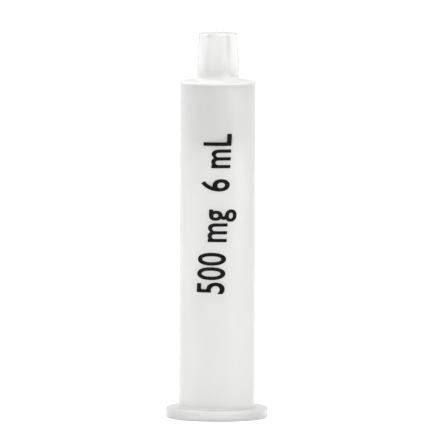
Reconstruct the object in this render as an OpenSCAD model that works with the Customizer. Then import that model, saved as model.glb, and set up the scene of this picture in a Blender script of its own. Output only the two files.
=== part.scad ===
// Solid-phase extraction cartridge, 6 mL format.
// One moulded barrel holds a plug of sorbent between two porous frits.
// Millimetres. The origin is the centre of the flange's open face, where the cartridge stands
// on its mouth, and +Z runs up the bore to the outlet tip.

/* [Overall] */
// Length from the flange's open face to the end of the outlet tip
overall_len = 75; // [60:0.5:110]

/* [Barrel] */
// Outside diameter of the barrel where it leaves the flange
barrel_d = 15.05; // [13.5:0.05:18]
// Wall thickness at the flange
wall_t = 1.2; // [0.8:0.05:1.6]
// Lean of the outside wall towards the shoulder, in degrees a side
barrel_draft = 0.18; // [0:0.02:0.4]

/* [Flange] */
// How far the flange stands out from the barrel
flange_reach = 2.4; // [1.6:0.1:5]
// Thickness of the flange
flange_t = 2.1; // [1.4:0.05:3]
// Rounding of the flange's edge on the barrel side
flange_back_round = 0.55; // [0.2:0.05:0.7]
// Rounding of the flange's edge on the open face
flange_face_round = 0.4; // [0.2:0.05:0.7]
// Fillet between the flange and the barrel
flange_fillet = 0.3; // [0.1:0.05:0.6]
// Chamfer round the mouth of the bore
mouth_lead = 0.3; // [0.1:0.05:0.5]

/* [Shoulder] */
// Thickness of the shoulder at the wall
shoulder_t = 1.1; // [0.8:0.05:2]
// Rounding of the shoulder's rim
shoulder_round = 0.35; // [0.1:0.05:0.6]

/* [Outlet tip] */
// Length of the tip from the shoulder
tip_len = 9.3; // [6:0.1:14]
// Outside diameter at the end of the tip
tip_end_d = 7.45; // [5.5:0.05:8.5]
// Lean of the tip's outside wall, in degrees a side
tip_taper = 3.1; // [1:0.1:4]
// Rounding of the tip's outer end edge
tip_round = 0.3; // [0.1:0.05:0.5]
// Fillet between the tip and the shoulder
tip_fillet = 0.8; // [0.2:0.05:1.2]
// Bore at the end of the tip
outlet_d = 3.1; // [1.5:0.1:3.5]
// Lean of the tip's bore, which widens towards the barrel, in degrees a side
outlet_taper = 2.4; // [0.5:0.1:3]

/* [Collecting floor] */
// Depth of the space under the outlet frit, at the wall
collect_depth = 0.4; // [0.2:0.05:0.8]
// Further fall of the floor from the wall to the outlet
collect_fall = 0.35; // [0:0.05:0.6]
// Number of radial ribs that carry the outlet frit
rib_count = 8; // [4:1:12]
// Width of each rib
rib_w = 0.6; // [0.4:0.05:1]
// Distance from the outlet to the foot of each rib
rib_setback = 0.5; // [0.2:0.1:1]

/* [Gate vestige] */
// Diameter of the broken gate on the end of the tip
gate_d = 0.9; // [0.5:0.1:1.2]
// Height of the broken gate
gate_h = 0.35; // [0.1:0.05:0.5]
// Bearing of the gate round the tip, in degrees from +X
gate_bearing = 66; // [0:1:359]

/* [Packing] */
// Thickness of each frit
frit_t = 1.6; // [1:0.1:3.2]
// Depth of the sorbent bed
bed_len = 7.9; // [3:0.1:20]
// How much narrower the packed end of the bore is, a side, so that it grips the frits
frit_grip = 0.05; // [0.02:0.01:0.1]
// Length of the cone that leads a frit into the narrower bore
grip_lead = 0.8; // [0.6:0.1:1.5]
// How far past that cone the inlet frit is pressed
frit_inset = 0.5; // [0.2:0.1:2]

/* [Hidden] */
$fn = 120;

// Steps in each quarter-round of the barrel's section
ROUND_STEPS = 8;
// How deep the ribs and the gate are rooted in the wall that carries them
ROOT = 0.2;

// Radii of the outside
barrel_r = barrel_d / 2;
flange_r = barrel_r + flange_reach;
tip_end_r = tip_end_d / 2;
tip_root_r = tip_end_r + tip_len * tan(tip_taper);

// Heights, from the end of the tip down to the mouth
shoulder_z = overall_len - tip_len;
floor_z = shoulder_z - shoulder_t;
seat_z = floor_z - collect_depth;
bed_z = seat_z - frit_t - bed_len;
inlet_z = bed_z - frit_t;
grip_z = inlet_z - frit_inset;
collect_z = floor_z + collect_fall;

// Radii that follow from the heights
shoulder_r = barrel_r - (shoulder_z - flange_t) * tan(barrel_draft);
reservoir_r = barrel_r - wall_t;
packing_r = reservoir_r - frit_grip;
outlet_r = outlet_d / 2;
outlet_root_r = outlet_r + (overall_len - collect_z) * tan(outlet_taper);

// Points round a centre, from one bearing to another
function arc(centre, r, from, to) = [
    for (i = [0:ROUND_STEPS])
        let (a = from + (to - from) * i / ROUND_STEPS)
            centre + r * [cos(a), sin(a)]
];

// Distance from the corner of a leaning wall to the centre of a round that blends it
function blend(r, lean) = r * tan(45 - lean / 2);

// Round between a leaning wall, inside which it lies, and the flat above it
function rim(wall_r, z, r, lean) =
    arc([wall_r - blend(r, lean), z - r], r, lean, 90);

// Fillet between a flat and the leaning wall that stands on it
function root(wall_r, z, r, lean) =
    arc([wall_r + blend(r, lean), z + r], r, 270, 180 + lean);

// Height of the collecting floor at a radius
function floor_at(r) =
    floor_z + collect_fall * (packing_r - r) / (packing_r - outlet_root_r);

// Outside of the barrel, from the flange's open face to the end of the tip
function outside() = concat(
    arc([flange_r - flange_face_round, flange_face_round], flange_face_round, -90, 0),
    rim(flange_r, flange_t, flange_back_round, 0),
    root(barrel_r, flange_t, flange_fillet, barrel_draft),
    rim(shoulder_r, shoulder_z, shoulder_round, barrel_draft),
    root(tip_root_r, shoulder_z, tip_fillet, tip_taper),
    rim(tip_end_r, overall_len, tip_round, tip_taper)
);

// Inside of the barrel, from the end of the tip back to the mouth
function inside() = [
    [outlet_r, overall_len],
    [outlet_root_r, collect_z],
    [packing_r, floor_z],
    [packing_r, grip_z],
    [reservoir_r, grip_z - grip_lead],
    [reservoir_r, mouth_lead],
    [reservoir_r + mouth_lead, 0]
];

// One radial rib of the collecting floor, with a sloping inner end
module rib() {
    foot_r = outlet_root_r + rib_setback;
    rotate([90, 0, 0])
        linear_extrude(height = rib_w, center = true)
            polygon([
                [foot_r + collect_depth, seat_z],
                [packing_r + ROOT, seat_z],
                [packing_r + ROOT, floor_z + ROOT],
                [foot_r, floor_at(foot_r) + ROOT],
                [foot_r, floor_at(foot_r)]
            ]);
}

// The stub that is left where the moulding was broken from its runner
module gate_vestige() {
    flat_r = tip_end_r - blend(tip_round, tip_taper);
    rotate([0, 0, gate_bearing])
        translate([(outlet_r + flat_r) / 2, 0, overall_len - ROOT])
            cylinder(d1 = gate_d, d2 = gate_d * 0.7, h = gate_h + ROOT);
}

// A porous disc that fills the packed end of the bore, from its lower face up
module frit(z) {
    translate([0, 0, z])
        cylinder(r = packing_r, h = frit_t);
}

module barrel() {
    color([0.93, 0.94, 0.93, 0.55]) {
        rotate_extrude()
            polygon(concat(outside(), inside()));
        for (i = [0:rib_count - 1])
            rotate([0, 0, i * 360 / rib_count])
                rib();
        gate_vestige();
    }
}

module outlet_frit() {
    color([0.95, 0.95, 0.94])
        frit(seat_z - frit_t);
}

module sorbent_bed() {
    color([0.86, 0.86, 0.85])
        translate([0, 0, bed_z])
            cylinder(r = packing_r, h = bed_len);
}

module inlet_frit() {
    color([0.95, 0.95, 0.94])
        frit(inlet_z);
}

barrel();
outlet_frit();
sorbent_bed();
inlet_frit();
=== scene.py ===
"""Looks of a solid-phase extraction cartridge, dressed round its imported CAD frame.

The barrel is the CAD moulding with a translucent polypropylene finish. The frits, the sorbent bed
and the printed capacity marking are modelled here, inside and on that barrel. Lengths are in metres.
"""

import logging
import math
from dataclasses import dataclass
from enum import Enum
from typing import Any, Callable, Mapping, Optional, Sequence, Union

import bpy
from mathutils import Matrix, Vector


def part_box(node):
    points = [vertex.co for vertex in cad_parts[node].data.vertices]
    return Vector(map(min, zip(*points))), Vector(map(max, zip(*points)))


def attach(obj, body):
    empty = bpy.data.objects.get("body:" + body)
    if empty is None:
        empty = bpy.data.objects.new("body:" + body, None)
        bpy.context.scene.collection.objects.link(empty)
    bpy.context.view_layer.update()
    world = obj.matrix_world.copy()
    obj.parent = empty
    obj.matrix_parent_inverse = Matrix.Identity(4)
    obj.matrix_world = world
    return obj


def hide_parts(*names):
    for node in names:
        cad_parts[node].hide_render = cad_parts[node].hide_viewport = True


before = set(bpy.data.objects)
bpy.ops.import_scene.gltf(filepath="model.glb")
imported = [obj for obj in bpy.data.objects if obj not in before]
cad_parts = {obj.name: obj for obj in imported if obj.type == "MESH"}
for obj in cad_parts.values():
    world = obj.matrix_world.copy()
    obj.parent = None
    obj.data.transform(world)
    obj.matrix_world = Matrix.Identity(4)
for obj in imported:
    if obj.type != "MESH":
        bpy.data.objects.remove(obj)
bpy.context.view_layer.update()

MM = 0.001
LOG = logging.getLogger("cartridge")

Colour = tuple[float, float, float]


# ---------------------------------------------------------------- shader graphs


class Value:
    """A shader socket that takes part in Python expressions."""

    def __init__(self, graph: "Graph", socket: bpy.types.NodeSocket) -> None:
        """Wraps a socket.

        Args:
            graph: The graph that the socket's node belongs to.
            socket: An output socket that carries a number.
        """
        self.graph = graph
        self.socket = socket

    def _maths(self, operation: str, *terms: "Term") -> "Value":
        """Adds a Math node on the given terms and returns its result."""
        node = self.graph.add("ShaderNodeMath", {"operation": operation}, dict(enumerate(terms)))
        return Value(self.graph, node.outputs[0])

    def __add__(self, other: "Term") -> "Value":
        """self + other."""
        return self._maths("ADD", self, other)

    def __radd__(self, other: "Term") -> "Value":
        """other + self."""
        return self._maths("ADD", other, self)

    def __sub__(self, other: "Term") -> "Value":
        """self - other."""
        return self._maths("SUBTRACT", self, other)

    def __rsub__(self, other: "Term") -> "Value":
        """other - self."""
        return self._maths("SUBTRACT", other, self)

    def __mul__(self, other: "Term") -> "Value":
        """self * other."""
        return self._maths("MULTIPLY", self, other)

    def clipped(self) -> "Value":
        """The value kept between 0 and 1."""
        return self._maths("MAXIMUM", self._maths("MINIMUM", self, 1.0), 0.0)

    def either(self, other: "Term") -> "Value":
        """The larger of the two, which joins two masks."""
        return self._maths("MAXIMUM", self, other)


Term = Union[Value, float]
Tint = Union[Colour, bpy.types.NodeSocket]
Input = Union[Value, bpy.types.NodeSocket, float, Sequence[float]]

# A Mix node's colour sockets, by number, because its other sockets share their names
MIX_COLOURS = (6, 7)
MIX_RESULT = 2


class Graph:
    """The node tree of one material or of the world."""

    def __init__(self, tree: bpy.types.NodeTree) -> None:
        """Empties a node tree, ready to be filled.

        Args:
            tree: The node tree to build in.
        """
        self.tree = tree
        tree.nodes.clear()

    def add(
        self,
        kind: str,
        settings: Optional[Mapping[str, Any]] = None,
        sockets: Optional[Mapping[Union[str, int], Input]] = None,
    ) -> bpy.types.Node:
        """Adds any node, sets it up and joins its sockets.

        Args:
            kind: The node's type name.
            settings: Properties of the node, set first. "stops" gives a ramp's positions and colours.
            sockets: Input names or numbers, with a value or a link for each.

        Returns:
            The new node.
        """
        node = self.tree.nodes.new(kind)
        for name, value in (settings or {}).items():
            if name == "stops":
                self._set_stops(node.color_ramp, value)
            else:
                setattr(node, name, value)
        for key, value in (sockets or {}).items():
            self._join(node.inputs[key], value)
        return node

    def _join(self, socket: bpy.types.NodeSocket, value: Input) -> None:
        """Links a socket, or sets its constant.

        Args:
            socket: The input socket.
            value: A link or a constant.
        """
        if isinstance(value, Value):
            value = value.socket
        if isinstance(value, bpy.types.NodeSocket):
            self.tree.links.new(value, socket)
        else:
            socket.default_value = value

    @staticmethod
    def _set_stops(ramp: bpy.types.ColorRamp, stops: Sequence[tuple[float, float]]) -> None:
        """Gives a ramp its grey stops.

        Args:
            ramp: The ramp of a Color Ramp node.
            stops: Pairs of position and level.
        """
        while len(ramp.elements) > 1:
            ramp.elements.remove(ramp.elements[-1])
        for number, (position, level) in enumerate(stops):
            element = ramp.elements[0] if number == 0 else ramp.elements.new(position)
            element.position = position
            element.color = (level, level, level, 1.0)

    def place(self) -> bpy.types.NodeSocket:
        """The point's place on the object, in metres."""
        return self.add("ShaderNodeTexCoord").outputs["Object"]

    def height(self) -> Value:
        """The point's height above the flange's open face, in metres."""
        return Value(self, self.add("ShaderNodeSeparateXYZ", {}, {0: self.place()}).outputs["Z"])

    def stretched(self, scale: Sequence[float]) -> bpy.types.NodeSocket:
        """The point's place, scaled along each axis."""
        sockets = {"Vector": self.place(), "Scale": scale}
        return self.add("ShaderNodeMapping", {}, sockets).outputs["Vector"]

    def noise(self, size: float, where: Optional[bpy.types.NodeSocket] = None) -> Value:
        """Even noise from 0 to 1, with two finer layers on it.

        Args:
            size: Width of one blotch, in metres.
            where: Coordinates to read, or the object's own.

        Returns:
            The noise as a value.
        """
        sockets = {"Vector": where or self.place(), "Scale": 1.0 / size, "Detail": 2.0}
        return Value(self, self.add("ShaderNodeTexNoise", {}, sockets).outputs["Fac"])

    def cells(self, size: float) -> Value:
        """Distance to the middle of the nearest grain, in grain widths."""
        sockets = {"Vector": self.place(), "Scale": 1.0 / size}
        return Value(self, self.add("ShaderNodeTexVoronoi", {}, sockets).outputs["Distance"])

    def step(self, value: Value, low: float, high: float) -> Value:
        """A mask that runs smoothly from 0 to 1.

        Args:
            value: What it follows.
            low: The value at which it leaves 0.
            high: The value at which it reaches 1.

        Returns:
            The mask.
        """
        settings = {"interpolation_type": "SMOOTHSTEP"}
        sockets = {"Value": value, "From Min": low, "From Max": high}
        node = self.add("ShaderNodeMapRange", settings, sockets)
        return Value(self, node.outputs["Result"])

    def ramp(self, value: Value, stops: Sequence[tuple[float, float]]) -> Value:
        """A level that follows a value through the given stops, as pairs of value and level."""
        settings = {"stops": stops}
        return Value(self, self.add("ShaderNodeValToRGB", settings, {"Fac": value}).outputs["Color"])

    def blend(self, share: Term, first: Tint, second: Tint) -> bpy.types.NodeSocket:
        """A colour between two, by a mask.

        Args:
            share: The mask, 0 for the first colour and 1 for the second.
            first: The first colour, or a link to one.
            second: The second colour, or a link to one.

        Returns:
            A socket that carries the colour.
        """
        ends = [(*tint, 1.0) if isinstance(tint, tuple) else tint for tint in (first, second)]
        sockets = {"Factor": share, **dict(zip(MIX_COLOURS, ends))}
        return self.add("ShaderNodeMix", {"data_type": "RGBA"}, sockets).outputs[MIX_RESULT]

    def relief(self, height: Value, depth: float) -> bpy.types.NodeSocket:
        """A bumped normal.

        Args:
            height: The relief, from 0 to 1.
            depth: What a height of 1 stands for, in metres.

        Returns:
            The Normal socket of a Bump node.
        """
        sockets = {"Height": height, "Distance": depth, "Strength": 1.0}
        return self.add("ShaderNodeBump", {}, sockets).outputs["Normal"]

    def surface(self, shader: bpy.types.NodeSocket, inside: Optional[bpy.types.NodeSocket] = None) -> None:
        """Makes a shader the surface of the material, and another what fills it, if anything does."""
        sockets = {"Surface": shader} if inside is None else {"Surface": shader, "Volume": inside}
        self.add("ShaderNodeOutputMaterial", {}, sockets)

    def principled(self, sockets: Mapping[str, Input]) -> bpy.types.NodeSocket:
        """A Principled surface with these sockets set."""
        return self.add("ShaderNodeBsdfPrincipled", {}, sockets).outputs["BSDF"]

    def mix(
        self, share: Term, first: bpy.types.NodeSocket, second: bpy.types.NodeSocket
    ) -> bpy.types.NodeSocket:
        """A surface between two, by a mask."""
        return self.add("ShaderNodeMixShader", {}, {0: share, 1: first, 2: second}).outputs[0]

    def both(self, first: bpy.types.NodeSocket, second: bpy.types.NodeSocket) -> bpy.types.NodeSocket:
        """A surface that gives the light of two."""
        return self.add("ShaderNodeAddShader", {}, {0: first, 1: second}).outputs[0]


def new_material(name: str) -> tuple[bpy.types.Material, Graph]:
    """Makes an empty material.

    Args:
        name: The material's name.

    Returns:
        The material and the graph of its nodes.
    """
    material = bpy.data.materials.new(name)
    material.use_nodes = True
    return material, Graph(material.node_tree)


# ---------------------------------------------------------------- finishes


@dataclass(frozen=True)
class MilkyPolypropylene:
    """Unpigmented polypropylene, which passes light and blurs what lies behind it.

    It is one plastic in three thicknesses: the thin wall, the clearer tip, and the cloudy places,
    which are the thick shoulder, the rim of the tip's end and the gate stub on it. Each place is
    given by the heights above the flange's open face between which it fades in.

    Attributes:
        clear: Its lightest colour, where the painted light is brightest and the clouds are clearest.
        shaded_and_dense: Its darkest colour, where the painted shade is deepest and the clouds are densest.
        painted_light_levels: Pairs of height and painted lightness, from 0 to 1: painted shade low, painted
            light high.
        length: Height that the painted light levels end at.
        passes: Share of the light that the thin wall passes on.
        tip_passes: The same for the tip.
        cloudy_passes: The same for the cloudy places.
        tip_heights: Where the tip's finish fades in.
        shoulder_heights: Where the shoulder's cloud fades in.
        shoulder_ends: Where the shoulder's cloud fades out.
        end_heights: Where the cloud of the tip's end fades in.
        end_cloud: Strength of that cloud.
        stub_heights: Where the cloud of the gate stub fades in.
        refraction: Index of refraction.
        haze: Tint of the light that passes through its thickness.
        haze_density: How fast its thickness takes light away, for each metre.
        roughness: Roughness of the wall.
        tip_roughness: Roughness of the tip.
        roughness_swing: How much the clouds change the roughness.
        milk: Share of its own scattered light.
        milk_depth: How far that light spreads in the wall.
        tip_milk_depth: The same in the tip.
        skin: Strength of the smooth outer skin.
        flange_skin: The same on the flange.
        flange_heights: Where the wall's skin fades in above the flange.
        skin_roughness: Roughness of the skin.
        cloud_size: Width of the faint clouds in it.
        cloud_depth: How much the clouds lighten or darken its colour, on top of the painted light and shade.
        flow_size: Width of the faint flow lines that the mould leaves.
        flow_stretch: Scale of the flow lines along each axis.
        flow_depth: Depth of the flow lines.
    """

    clear: Colour = (0.998, 0.998, 0.988)
    shaded_and_dense: Colour = (0.877, 0.880, 0.859)
    # Painted light and shade: the colour is painted darker low on the barrel and lighter above, lightest at
    # the shoulder.
    painted_light_levels: tuple[tuple[float, float], ...] = (
        (2.0 * MM, 0.45),
        (3.0 * MM, 0.38),
        (25.0 * MM, 0.38),
        (35.0 * MM, 0.6),
        (64.0 * MM, 0.6),
        (66.0 * MM, 1.0),
        (68.0 * MM, 0.85),
        (75.0 * MM, 0.75),
    )
    length: float = 75.0 * MM
    passes: float = 0.58
    tip_passes: float = 0.75
    cloudy_passes: float = 0.22
    tip_heights: tuple[float, float] = (65.0 * MM, 69.0 * MM)
    shoulder_heights: tuple[float, float] = (65.1 * MM, 65.7 * MM)
    shoulder_ends: tuple[float, float] = (66.0 * MM, 67.8 * MM)
    end_heights: tuple[float, float] = (74.7 * MM, 75.0 * MM)
    end_cloud: float = 0.5
    stub_heights: tuple[float, float] = (75.02 * MM, 75.08 * MM)
    refraction: float = 1.49
    haze: Colour = (0.80, 0.80, 0.79)
    haze_density: float = 85.0
    roughness: float = 0.18
    tip_roughness: float = 0.1
    roughness_swing: float = 0.03
    milk: float = 1.0
    milk_depth: float = 0.8 * MM
    tip_milk_depth: float = 1.5 * MM
    skin: float = 1.0
    flange_skin: float = 0.4
    flange_heights: tuple[float, float] = (2.0 * MM, 3.0 * MM)
    skin_roughness: float = 0.3
    cloud_size: float = 6.0 * MM
    cloud_depth: float = 0.1
    flow_size: float = 0.9 * MM
    flow_stretch: tuple[float, float, float] = (1.0, 1.0, 0.12)
    flow_depth: float = 0.004 * MM

    def _cloudiness(self, graph: Graph, height: Value) -> Value:
        """Where the plastic is cloudy.

        Args:
            graph: The graph to add the nodes to.
            height: The point's height.

        Returns:
            A mask that is 1 where it is cloudiest.
        """
        shoulder = graph.step(height, *self.shoulder_heights) * (1 - graph.step(height, *self.shoulder_ends))
        end = graph.step(height, *self.end_heights) * self.end_cloud
        stub = graph.step(height, *self.stub_heights)
        return shoulder.either(end).either(stub)

    def make(self) -> bpy.types.Material:
        """Builds the material.

        Returns:
            The material of the barrel.
        """
        material, graph = new_material("milky_polypropylene")
        clouds = graph.noise(self.cloud_size) - 0.5
        flow = graph.noise(self.flow_size, where=graph.stretched(self.flow_stretch))
        height = graph.height()
        wall = graph.step(height, *self.flange_heights)
        tip = graph.step(height, *self.tip_heights)
        # Painted light and shade by height: darker low on the barrel, lighter above, lightest at the
        # shoulder; the clouds add random tone on top.
        stops = [(place / self.length, level) for place, level in self.painted_light_levels]
        level = graph.ramp(height * (1 / self.length), stops)
        polish = self.roughness + tip * (self.tip_roughness - self.roughness)
        sockets = {
            "Base Color": graph.blend(level + clouds * self.cloud_depth, self.shaded_and_dense, self.clear),
            "Roughness": polish + clouds * self.roughness_swing,
            "IOR": self.refraction,
            "Transmission Weight": self.passes,
            "Subsurface Weight": self.milk,
            "Subsurface Radius": (1.0, 1.0, 1.0),
            "Subsurface Scale": self.milk_depth,
            "Coat Weight": self.flange_skin + wall * (self.skin - self.flange_skin),
            "Coat Roughness": self.skin_roughness,
            "Normal": graph.relief(flow, self.flow_depth),
        }
        thin = graph.principled(sockets)
        clearer = {"Transmission Weight": self.tip_passes, "Subsurface Scale": self.tip_milk_depth}
        clear = graph.principled({**sockets, **clearer})
        cloudy = graph.principled({**sockets, "Transmission Weight": self.cloudy_passes})
        shader = graph.mix(self._cloudiness(graph, height), graph.mix(tip, thin, clear), cloudy)
        filling = {"Color": (*self.haze, 1.0), "Density": self.haze_density}
        haze = graph.add("ShaderNodeVolumeAbsorption", {}, filling)
        graph.surface(shader, haze.outputs[0])
        return material


@dataclass(frozen=True)
class SinteredDisc:
    """Porous polyethylene, white grains fused together with pores between them.

    Attributes:
        grain_colour: Colour of the grains.
        pore_shade_colour: Painted shade in the pores, darker than the grains.
        grain_size: Width of one grain.
        grain_depth: How deep the pores look.
        pore_edges: How far from a grain's middle a pore fades in, in grain widths.
        roughness: Roughness of the grains.
        pore_roughness: Roughness in the pores.
    """

    grain_colour: Colour = (0.86, 0.86, 0.85)
    pore_shade_colour: Colour = (0.62, 0.62, 0.61)
    grain_size: float = 0.22 * MM
    grain_depth: float = 0.05 * MM
    pore_edges: tuple[float, float] = (0.45, 0.8)
    roughness: float = 0.7
    pore_roughness: float = 0.9

    def make(self) -> bpy.types.Material:
        """Builds the material.

        Returns:
            The material of both frits.
        """
        material, graph = new_material("sintered_polyethylene")
        grains = graph.cells(self.grain_size)
        pores = graph.step(grains, *self.pore_edges)
        # The pores are painted darker than the grains, as painted shade.
        shader = graph.principled({
            "Base Color": graph.blend(pores, self.grain_colour, self.pore_shade_colour),
            "Roughness": self.roughness + pores * (self.pore_roughness - self.roughness),
            "Normal": graph.relief(1.0 - grains, self.grain_depth),
        })
        graph.surface(shader)
        return material


@dataclass(frozen=True)
class PackedPowder:
    """Bonded silica, a fine off-white powder that is packed dry.

    Attributes:
        powder_colour: Colour of the powder.
        gap_shade_and_drift_colour: Painted shade in the gaps between the grains, and the darker tone where
            the powder drifted together.
        grain_size: Width of one grain.
        grain_depth: How deep the gaps between grains look.
        gap_edges: How far from a grain's middle a gap fades in, in grain widths.
        gap_share: How much of the darkening is painted shade in the gaps; the rest is the drifts' tone.
        drift_size: Width of the larger drifts.
        roughness: Roughness of the powder.
        gap_roughness: Roughness in the gaps and the drifts.
    """

    powder_colour: Colour = (0.76, 0.76, 0.745)
    gap_shade_and_drift_colour: Colour = (0.68, 0.68, 0.665)
    grain_size: float = 0.12 * MM
    grain_depth: float = 0.02 * MM
    gap_edges: tuple[float, float] = (0.3, 0.9)
    gap_share: float = 0.6
    drift_size: float = 3.0 * MM
    roughness: float = 0.85
    gap_roughness: float = 0.95

    def make(self) -> bpy.types.Material:
        """Builds the material.

        Returns:
            The material of the sorbent bed.
        """
        material, graph = new_material("packed_sorbent")
        grains = graph.cells(self.grain_size)
        drift = graph.noise(self.drift_size)
        gaps = graph.step(grains, *self.gap_edges)
        # The gaps between grains are painted darker, as painted shade; the drifts add random darker tone.
        shade = (gaps * self.gap_share + drift * (1 - self.gap_share)).clipped()
        shader = graph.principled({
            "Base Color": graph.blend(shade, self.powder_colour, self.gap_shade_and_drift_colour),
            "Roughness": self.roughness + shade * (self.gap_roughness - self.roughness),
            "Normal": graph.relief(1.0 - grains, self.grain_depth),
        })
        graph.surface(shader)
        return material


@dataclass(frozen=True)
class PrintedInk:
    """Black marking ink, a thin film with slight thin spots.

    Attributes:
        full: Colour of the full film.
        thin: Colour of a thin spot.
        shine: Strength of its reflection.
        roughness: Roughness of the full film.
        thin_roughness: Roughness of a thin spot.
        blotch_size: Width of the larger thin spots.
        blotch_edges: Noise levels between which they fade in.
        blotch_share: How much of the thinness they make.
        speck_size: Width of the fine specks, which make the rest.
        film_relief: Depth of the specks.
    """

    full: Colour = (0.005, 0.0045, 0.004)
    thin: Colour = (0.022, 0.019, 0.016)
    shine: float = 0.05
    roughness: float = 0.42
    thin_roughness: float = 0.62
    blotch_size: float = 0.5 * MM
    blotch_edges: tuple[float, float] = (0.45, 0.75)
    blotch_share: float = 0.7
    speck_size: float = 0.08 * MM
    film_relief: float = 0.004 * MM

    def make(self) -> bpy.types.Material:
        """Builds the material.

        Returns:
            The material of the printed marking.
        """
        material, graph = new_material("marking_ink")
        blotches = graph.step(graph.noise(self.blotch_size), *self.blotch_edges)
        specks = graph.noise(self.speck_size)
        thin = (blotches * self.blotch_share + specks * (1 - self.blotch_share)).clipped()
        shader = graph.principled({
            "Base Color": graph.blend(thin, self.full, self.thin),
            "Roughness": self.roughness + thin * (self.thin_roughness - self.roughness),
            "Specular IOR Level": self.shine,
            "Normal": graph.relief(specks, self.film_relief),
        })
        graph.surface(shader)
        return material


# ---------------------------------------------------------------- modelling by hand


def start_clean() -> None:
    """Leaves edit mode and deselects everything."""
    if bpy.context.object and bpy.context.object.mode != "OBJECT":
        bpy.ops.object.mode_set(mode="OBJECT")
    bpy.ops.object.select_all(action="DESELECT")


def choose(piece: bpy.types.Object) -> None:
    """Makes a piece the only selected and the active object.

    Args:
        piece: The object.
    """
    start_clean()
    piece.select_set(True)
    bpy.context.view_layer.objects.active = piece


def settle(piece: bpy.types.Object) -> None:
    """Puts a piece's place, turn and size into its mesh, so that its object sits at the origin."""
    choose(piece)
    bpy.ops.object.transform_apply(location=True, rotation=True, scale=True)


def select_edges(piece: bpy.types.Object, wanted: Callable[[Vector, Vector], bool]) -> None:
    """Selects the edges whose two ends pass a test, and goes into edit mode.

    Args:
        piece: The mesh object.
        wanted: Takes the places of an edge's ends and says whether it is selected.
    """
    choose(piece)
    bpy.ops.object.mode_set(mode="EDIT")
    bpy.ops.mesh.select_mode(type="EDGE")
    bpy.ops.mesh.select_all(action="DESELECT")
    bpy.ops.object.mode_set(mode="OBJECT")
    mesh = piece.data
    for edge in mesh.edges:
        first, second = (mesh.vertices[i].co for i in edge.vertices)
        edge.select = wanted(first, second)
    bpy.ops.object.mode_set(mode="EDIT")


def dress(piece: bpy.types.Object, material: bpy.types.Material) -> None:
    """Gives a piece one material in all its slots.

    Args:
        piece: The mesh object.
        material: The material that it gets.
    """
    if not piece.material_slots:
        piece.data.materials.append(material)
    for slot in piece.material_slots:
        slot.material = material


def size_words(piece: bpy.types.Object) -> str:
    """A piece's size in millimetres, for the log."""
    return " x ".join(f"{side / MM:.2f}" for side in piece.dimensions)


# ---------------------------------------------------------------- the cartridge


@dataclass
class Barrel:
    """The moulded barrel, which stays the CAD solid and gets its finish here.

    Attributes:
        node: Name of its CAD node.
        flange_end_radius: Outside radius where the barrel leaves the flange.
        flange_thickness: Height of the flange, where the wall begins.
        draft: Lean of the outside wall, in degrees.
    """

    node: str = "barrel"
    flange_end_radius: float = 7.525 * MM
    flange_thickness: float = 2.1 * MM
    draft: float = 0.18

    def wall_radius(self, height: float) -> float:
        """The outside radius of the wall.

        Args:
            height: Distance above the flange's open face.

        Returns:
            The radius at that height.
        """
        rise = height - self.flange_thickness
        return self.flange_end_radius - rise * math.tan(math.radians(self.draft))

    def dress(self, finish: MilkyPolypropylene) -> None:
        """Gives the CAD solid its finish.

        Args:
            finish: The plastic that it is moulded in.
        """
        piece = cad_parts[self.node]
        dress(piece, finish.make())
        LOG.info("%s: %s mm, the CAD solid", self.node, size_words(piece))


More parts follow.
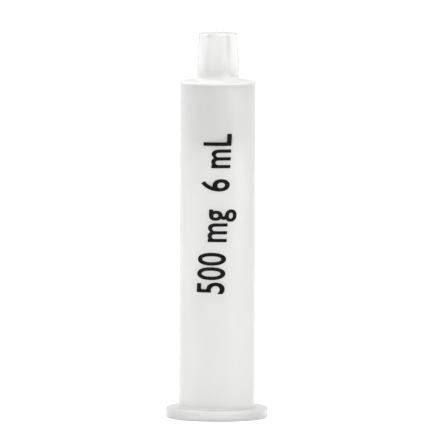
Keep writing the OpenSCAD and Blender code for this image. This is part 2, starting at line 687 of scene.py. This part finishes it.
@dataclass
class Packing:
    """The two frits and the sorbent bed between them.

    Attributes:
        wall_gap: How far the visible surface of each lies inside the bore.
        frit_edge: Rounding of a frit's rim.
        bed_bands: Bands that the bed is cut into from end to end.
        sides: Number of faces round the bore.
        edge_rings: Number of faces across a rounded rim.
        smooth_angle: Edges flatter than this are shaded smooth, in degrees.
    """

    wall_gap: float = 0.03 * MM
    frit_edge: float = 0.15 * MM
    bed_bands: int = 8
    sides: int = 128
    edge_rings: int = 3
    smooth_angle: float = 40.0

    def _disc(self, node: str, name: str, edge: float, bands: int) -> bpy.types.Object:
        """Models one round piece that fills its CAD node's place in the bore.

        Args:
            node: The CAD node that it stands for.
            name: The piece's name.
            edge: Rounding of both rims.
            bands: Bands from end to end.

        Returns:
            The piece, in its place.
        """
        low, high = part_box(node)
        radius = high.x - self.wall_gap
        depth = high.z - low.z
        start_clean()
        bpy.ops.mesh.primitive_cylinder_add(
            vertices=self.sides, radius=radius, depth=depth, end_fill_type="NGON",
            location=(0.0, 0.0, (low.z + high.z) / 2),
        )
        piece = bpy.context.object
        piece.name = name
        settle(piece)
        select_edges(piece, lambda a, b: math.isclose(a.z, b.z, abs_tol=edge / 10))
        bpy.ops.mesh.bevel(offset=edge, segments=self.edge_rings, affect="EDGES")
        bpy.ops.mesh.select_all(action="SELECT")
        for number in range(1, bands):
            bpy.ops.mesh.bisect(plane_co=(0.0, 0.0, low.z + depth * number / bands), plane_no=(0, 0, 1))
            bpy.ops.mesh.select_all(action="SELECT")
        bpy.ops.object.mode_set(mode="OBJECT")
        bpy.ops.object.shade_smooth_by_angle(angle=math.radians(self.smooth_angle))
        return piece

    @staticmethod
    def _copied(piece: bpy.types.Object, node: str, other: str, name: str) -> bpy.types.Object:
        """Copies a piece into the place of another CAD node of the same size.

        Args:
            piece: The piece to copy.
            node: The CAD node that it stands for.
            other: The CAD node that the copy stands for.
            name: The copy's name.

        Returns:
            The copy, in its place and with a mesh of its own.
        """
        choose(piece)
        bpy.ops.object.duplicate(linked=False)
        twin = bpy.context.object
        twin.name = name
        twin.location.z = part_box(other)[0].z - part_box(node)[0].z
        settle(twin)
        return twin

    @staticmethod
    def _stand_in(piece: bpy.types.Object, node: str) -> None:
        """Lets a piece ride on the part's one body in place of its CAD node.

        Args:
            piece: The piece.
            node: The CAD node that it stands for.
        """
        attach(piece, "root")
        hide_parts(node)
        LOG.info("%s: %s mm", piece.name, size_words(piece))

    def build(self) -> None:
        """Models and dresses the three pieces."""
        porous = SinteredDisc().make()
        powder = PackedPowder().make()
        outlet = self._disc("outlet_frit", "outlet_frit_disc", self.frit_edge, 1)
        inlet = self._copied(outlet, "outlet_frit", "inlet_frit", "inlet_frit_disc")
        for frit, node in ((outlet, "outlet_frit"), (inlet, "inlet_frit")):
            self._stand_in(frit, node)
            dress(frit, porous)
        bed = self._disc("sorbent_bed", "sorbent_plug", self.wall_gap, self.bed_bands)
        self._stand_in(bed, "sorbent_bed")
        dress(bed, powder)


@dataclass
class Marking:
    """The printed capacity marking, which reads up the front of the barrel.

    Attributes:
        words: What it says.
        cap_height: Height of a capital, measured round the barrel.
        length: Length of the whole line, along the barrel.
        start: Height above the flange's open face at which it starts.
        baseline: How far round the barrel the baseline starts, to the right of the front.
        slant: How far the line leans round the barrel, in degrees.
        boldness: How much each stroke is widened, as a share of the type size.
        letter_space: Space between letters, as a share of the typeface's own.
        film: Thickness of the ink.
        lift: Gap under the ink, which keeps it off the wall's own faces.
        grain: Size of the cells that the outline is rounded with.
        slab_cells: Thickness of the flat slab of letters, in those cells.
        softening: How far each pass of smoothing moves the outline, as a share.
        soft_passes: Number of those passes.
        curve_steps: Pieces that each curve of a letter is cut into.
        last_letter: Share of the line's length that its last capital fills.
    """

    words: str = "500 mg  6 mL"
    cap_height: float = 5.45 * MM
    length: float = 31.2 * MM
    start: float = 24.7 * MM
    baseline: float = 1.22 * MM
    slant: float = 2.7
    boldness: float = 0.017
    letter_space: float = 1.05
    film: float = 0.02 * MM
    lift: float = 0.008 * MM
    grain: float = 0.09 * MM
    slab_cells: int = 4
    softening: float = 0.5
    soft_passes: int = 3
    curve_steps: int = 6
    last_letter: float = 1 / 12

    def _flat(self) -> bpy.types.Object:
        """Sets the words flat, as a slab of even strokes, and rounds its corners.

        Returns:
            A mesh with the words along X, capitals up Y, and its thickness along Z.
        """
        start_clean()
        bpy.ops.object.text_add(location=(0.0, 0.0, 0.0))
        piece = bpy.context.object
        piece.name = "capacity_marking"
        piece.data.body = self.words
        piece.data.offset = self.boldness
        piece.data.space_character = self.letter_space
        piece.data.extrude = 0.5  # to each side, so that the slab is 1 thick until _fit scales it
        piece.data.resolution_u = self.curve_steps
        bpy.ops.object.convert(target="MESH")
        self._fit(piece)
        remesh = piece.modifiers.new("even_out", "REMESH")
        remesh.mode = "VOXEL"
        remesh.voxel_size = self.grain
        bpy.ops.object.modifier_apply(modifier=remesh.name)
        smooth = piece.modifiers.new("soften", "SMOOTH")
        smooth.factor = self.softening
        smooth.iterations = self.soft_passes
        bpy.ops.object.modifier_apply(modifier=smooth.name)
        return piece

    def _fit(self, piece: bpy.types.Object) -> None:
        """Scales the flat words to their length, capital height and thickness.

        Args:
            piece: The slab of letters.
        """
        places = [vertex.co for vertex in piece.data.vertices]
        low_x, high_x = min(p.x for p in places), max(p.x for p in places)
        span = high_x - low_x
        capital = max(p.y for p in places if p.x > high_x - span * self.last_letter)
        scale = (self.length / span, self.cap_height / capital, self.slab_cells * self.grain, 1.0)
        piece.data.transform(Matrix.Diagonal(scale) @ Matrix.Translation((-low_x, 0, 0)))

    def _wrap(self, piece: bpy.types.Object, barrel: Barrel) -> None:
        """Lays the flat words on the barrel's wall, turned to read upwards.

        Args:
            piece: The slab of letters.
            barrel: The barrel that it is laid on.
        """
        places = [vertex.co.copy() for vertex in piece.data.vertices]
        base, crest = min(p.z for p in places), max(p.z for p in places)
        lean = math.tan(math.radians(self.slant))
        for vertex, place in zip(piece.data.vertices, places):
            height = self.start + place.x
            wall = barrel.wall_radius(height)
            across = self.baseline + place.x * lean - place.y
            bearing = across / wall
            radius = wall + self.lift + self.film * (place.z - base) / (crest - base)
            vertex.co = (radius * math.sin(bearing), -radius * math.cos(bearing), height)

    def build(self, barrel: Barrel) -> None:
        """Models and dresses the marking.

        Args:
            barrel: The barrel that it is printed on.
        """
        piece = self._flat()
        self._wrap(piece, barrel)
        choose(piece)
        bpy.ops.object.mode_set(mode="EDIT")
        bpy.ops.mesh.select_all(action="SELECT")
        bpy.ops.mesh.normals_make_consistent(inside=False)
        bpy.ops.object.mode_set(mode="OBJECT")
        bpy.ops.object.shade_smooth()
        dress(piece, PrintedInk().make())
        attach(piece, "root")
        LOG.info("%s: %s mm, %d faces", piece.name, size_words(piece), len(piece.data.polygons))


# ---------------------------------------------------------------- the studio


@dataclass(frozen=True)
class Softbox:
    """A square lamp that shines at the cartridge.

    Attributes:
        azimuth: Bearing from the front, to the right, in degrees.
        elevation: Height above the horizon, in degrees.
        distance: How far it stands from the cartridge.
        side: Width of the lamp.
        power: What it gives, in watts.
    """

    azimuth: float
    elevation: float
    distance: float
    side: float
    power: float


class Lamp(Enum):
    """The studio's lamps: two at the right, two at the left and one overhead."""

    KEY = Softbox(azimuth=60.0, elevation=15.0, distance=0.6, side=0.45, power=0.56)
    RIGHT = Softbox(azimuth=40.0, elevation=50.0, distance=0.6, side=0.45, power=0.26)
    LEFT = Softbox(azimuth=-105.0, elevation=40.0, distance=0.6, side=0.45, power=0.82)
    RIM = Softbox(azimuth=-120.0, elevation=15.0, distance=0.6, side=0.45, power=0.15)
    TOP = Softbox(azimuth=0.0, elevation=85.0, distance=0.6, side=0.45, power=0.6)


@dataclass
class Studio:
    """A plain white studio with a pale floor.

    Attributes:
        aim: The point that the camera looks at.
        distance: How far the camera stands.
        elevation: How far the camera looks down, in degrees.
        roll: How far the camera is turned about its own axis, in degrees.
        view_width: Width of what the camera sees at the cartridge.
        surround: How bright the walls of the studio shine on things.
        side_walls: How bright they look in light that the plastic has turned aside by a reflection.
        lensed_walls: How bright they look in light that solid plastic has bent, as a lens does.
        lens_faces: Number of faces that such light crosses. It fades out over as many again.
        mirrored_walls: How bright they look in light that was only reflected.
        floor_side: Width of the floor.
        floor_colour: Colour of the floor.
        floor_glow: How much white the camera sees on the floor besides its own colour.
        floor_glow_in_plastic: The same, as seen in a reflection or through the plastic.
    """

    aim: tuple[float, float, float] = (0.49 * MM, 0.0, 38.5 * MM)
    distance: float = 2.5
    elevation: float = 5.0
    roll: float = 0.21
    view_width: float = 85.6 * MM
    surround: float = 0.89
    side_walls: float = 0.5
    lensed_walls: float = 0.85
    lens_faces: int = 2
    mirrored_walls: float = 0.9
    floor_side: float = 12.0
    floor_colour: Colour = (0.95, 0.95, 0.95)
    floor_glow: float = 0.22
    floor_glow_in_plastic: float = 0.18

    @staticmethod
    def _light_path(graph: Graph, *names: str) -> list[Value]:
        """What the light path says of the ray that meets this shader.

        Args:
            graph: The graph to add the node to.
            names: The outputs wanted.

        Returns:
            One value for each name.
        """
        node = graph.add("ShaderNodeLightPath")
        return [Value(graph, node.outputs[name]) for name in names]

    def _surround(self) -> None:
        """Lights the cartridge evenly from the white walls of the studio."""
        world = bpy.data.worlds.new("studio")
        bpy.context.scene.world = world
        world.use_nodes = True
        graph = Graph(world.node_tree)
        straight, glossy, through = self._light_path(
            graph, "Is Camera Ray", "Is Glossy Ray", "Is Transmission Ray"
        )
        reflections, passes = self._light_path(graph, "Glossy Depth", "Transmission Depth")
        seen = straight.either(glossy).either(through)
        turned = reflections.clipped() * passes.clipped()
        lensed = passes.clipped() * (2 - passes * (1 / self.lens_faces)).clipped()
        mirrored = reflections.clipped() * (1 - passes.clipped())
        dimmed = (1 - turned * (1 - self.side_walls)) * (1 - lensed * (1 - self.lensed_walls))
        dimmed = dimmed * (1 - mirrored * (1 - self.mirrored_walls))
        strength = seen * dimmed + (1 - seen) * self.surround
        background = graph.add("ShaderNodeBackground", {}, {"Color": (1, 1, 1, 1), "Strength": strength})
        graph.add("ShaderNodeOutputWorld", {}, {"Surface": background.outputs[0]})

    def _floor(self) -> None:
        """Lays the pale floor under the cartridge."""
        start_clean()
        bpy.ops.mesh.primitive_plane_add(size=self.floor_side, location=(0.0, 0.0, 0.0))
        floor = bpy.context.object
        floor.name = "floor"
        material, graph = new_material("studio_floor")
        straight, glossy, through = self._light_path(
            graph, "Is Camera Ray", "Is Glossy Ray", "Is Transmission Ray"
        )
        glow = straight * self.floor_glow + glossy.either(through) * self.floor_glow_in_plastic
        plain = graph.add("ShaderNodeBsdfDiffuse", {}, {"Color": (*self.floor_colour, 1.0)})
        white = graph.add("ShaderNodeEmission", {}, {"Color": (1, 1, 1, 1), "Strength": glow})
        graph.surface(graph.both(plain.outputs[0], white.outputs[0]))
        dress(floor, material)

    def _place_lamp(self, lamp: Lamp) -> None:
        """Hangs one lamp, turned to the cartridge.

        Args:
            lamp: The lamp to hang.
        """
        box = lamp.value
        bearing, height = math.radians(box.azimuth), math.radians(box.elevation)
        away = Vector((
            math.sin(bearing) * math.cos(height),
            -math.cos(bearing) * math.cos(height),
            math.sin(height),
        ))
        start_clean()
        bpy.ops.object.light_add(type="AREA", location=Vector(self.aim) + away * box.distance)
        light = bpy.context.object
        light.name = lamp.name.lower()
        light.rotation_euler = away.to_track_quat("Z", "Y").to_euler()
        light.data.size = box.side
        light.data.energy = box.power

    def _camera(self) -> None:
        """Sets the camera in front of the cartridge, looking slightly down on it."""
        drop = math.radians(self.elevation)
        away = Vector((0.0, -math.cos(drop), math.sin(drop)))
        start_clean()
        bpy.ops.object.camera_add(location=Vector(self.aim) + away * self.distance)
        camera = bpy.context.object
        turn = away.to_track_quat("Z", "Y").to_matrix() @ Matrix.Rotation(math.radians(self.roll), 3, "Z")
        camera.rotation_euler = turn.to_euler()
        camera.data.lens = camera.data.sensor_width * self.distance / self.view_width
        camera.data.clip_start = self.distance / 10
        camera.data.clip_end = self.distance + self.floor_side
        bpy.context.scene.camera = camera

    def build(self) -> None:
        """Sets the studio up."""
        self._camera()
        self._surround()
        self._floor()
        for lamp in Lamp:
            self._place_lamp(lamp)
        scene = bpy.context.scene
        scene.view_settings.view_transform = "Standard"
        scene.cycles.blur_glossy = 0.0
        LOG.info("studio: %d lamps, camera %.1f m away", len(Lamp), self.distance)


def main() -> None:
    """Builds the studio, then dresses the barrel, the packing and the marking."""
    logging.basicConfig(level=logging.INFO, format="%(name)s: %(message)s")
    Studio().build()
    barrel = Barrel()
    barrel.dress(MilkyPolypropylene())
    Packing().build()
    Marking().build(barrel)


if __name__ == "__main__":
    main()
